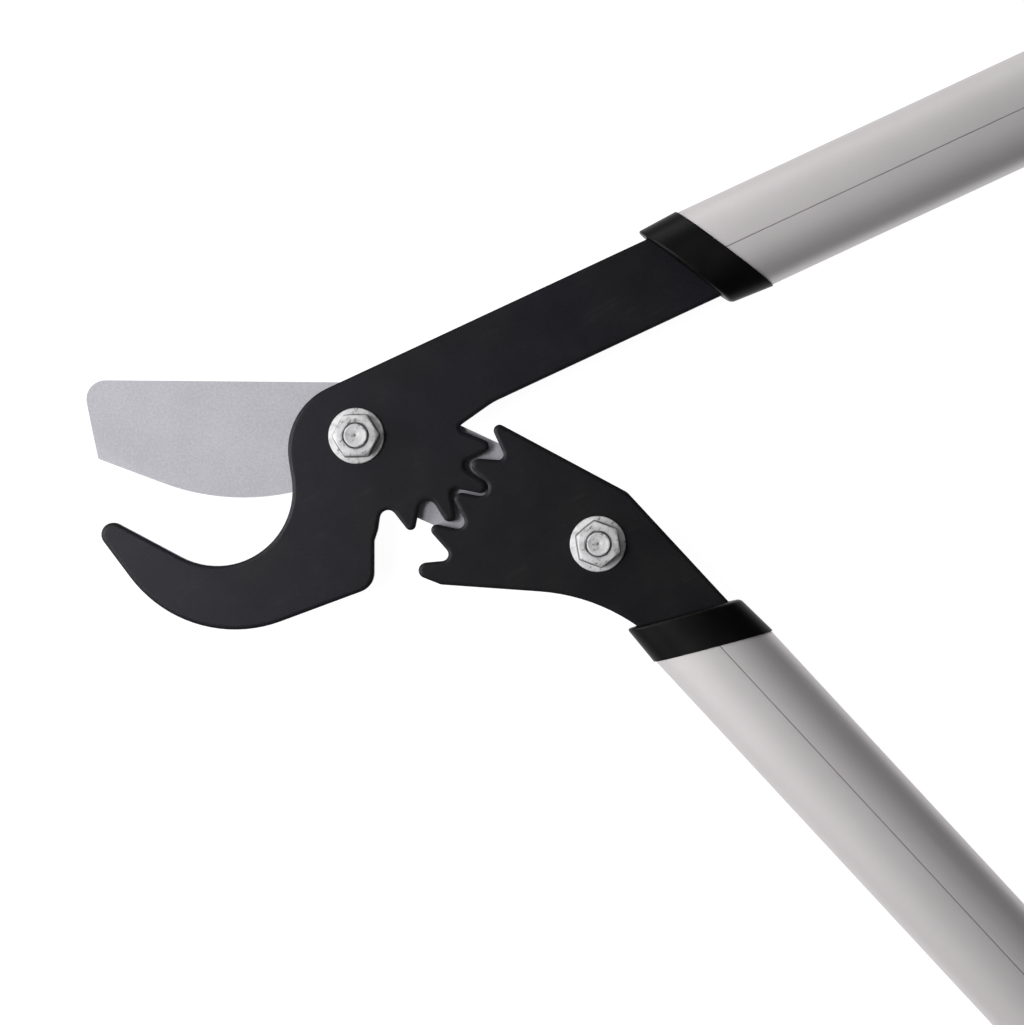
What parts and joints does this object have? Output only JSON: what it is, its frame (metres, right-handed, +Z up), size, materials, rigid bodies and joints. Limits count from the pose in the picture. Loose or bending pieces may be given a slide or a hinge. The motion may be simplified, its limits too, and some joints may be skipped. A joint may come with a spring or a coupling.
{
  "type": "bypass loppers",
  "caption": "Long-handled bypass loppers with a silver blade, a black hooked counter blade and a toothed sector that gears the second handle.",
  "frame": {"origin": "on the main pivot's axis, at the underside of the main bolt's head, which is the plane the tool lies on", "axes": "+X along the blade's back from the tip towards the handles, +Y across towards the upper handle, +Z up out of the plates on the nut side"},
  "size_m": [0.6363, 0.6952, 0.032],
  "materials": {
    "blade_steel": "fine matte ground steel",
    "black_plate": "matte black coated steel",
    "zinc_hardware": "scuffed bright zinc plating",
    "tube_aluminium": "satin anodised",
    "collar_plastic": "semi-gloss black moulding",
    "grip_rubber": "matte ribbed rubber"
  },
  "bodies": {
    "blade": {"blade": "blade_steel", "main_bolt": "zinc_hardware", "main_spring_washer": "zinc_hardware", "main_bush": "zinc_hardware", "main_nut": "zinc_hardware", "gear_bolt": "zinc_hardware", "gear_spring_washer": "zinc_hardware", "gear_bush": "zinc_hardware", "gear_nut": "zinc_hardware"},
    "upper_lever": {"hook_plate": "black_plate", "upper_collar": "collar_plastic", "upper_tube": "tube_aluminium", "upper_rivet_1": "zinc_hardware", "upper_rivet_2": "zinc_hardware", "upper_grip_ring": "collar_plastic", "upper_grip": "grip_rubber", "upper_end_cap": "collar_plastic"},
    "lower_lever": {"gear_plate": "black_plate", "lower_collar": "collar_plastic", "lower_tube": "tube_aluminium", "lower_rivet_1": "zinc_hardware", "lower_rivet_2": "zinc_hardware", "lower_grip_ring": "collar_plastic", "lower_grip": "grip_rubber", "lower_end_cap": "collar_plastic"}
  },
  "joints": [
    {"name": "hook_pivot", "type": "hinge", "parent": "blade", "child": "upper_lever", "pos_m": [0, 0, 0.016], "axis": [0, 0, -1], "range_deg": [-26, 29]},
    {"name": "gear_pivot", "type": "hinge", "parent": "blade", "child": "lower_lever", "pos_m": [0.07723, -0.03454, 0.016], "axis": [0, 0, -1], "range_deg": [-25.6, 23]}
  ],
  "couplings": [
    {"joint": "gear_pivot", "follows": "hook_pivot", "ratio": -0.88}
  ]
}
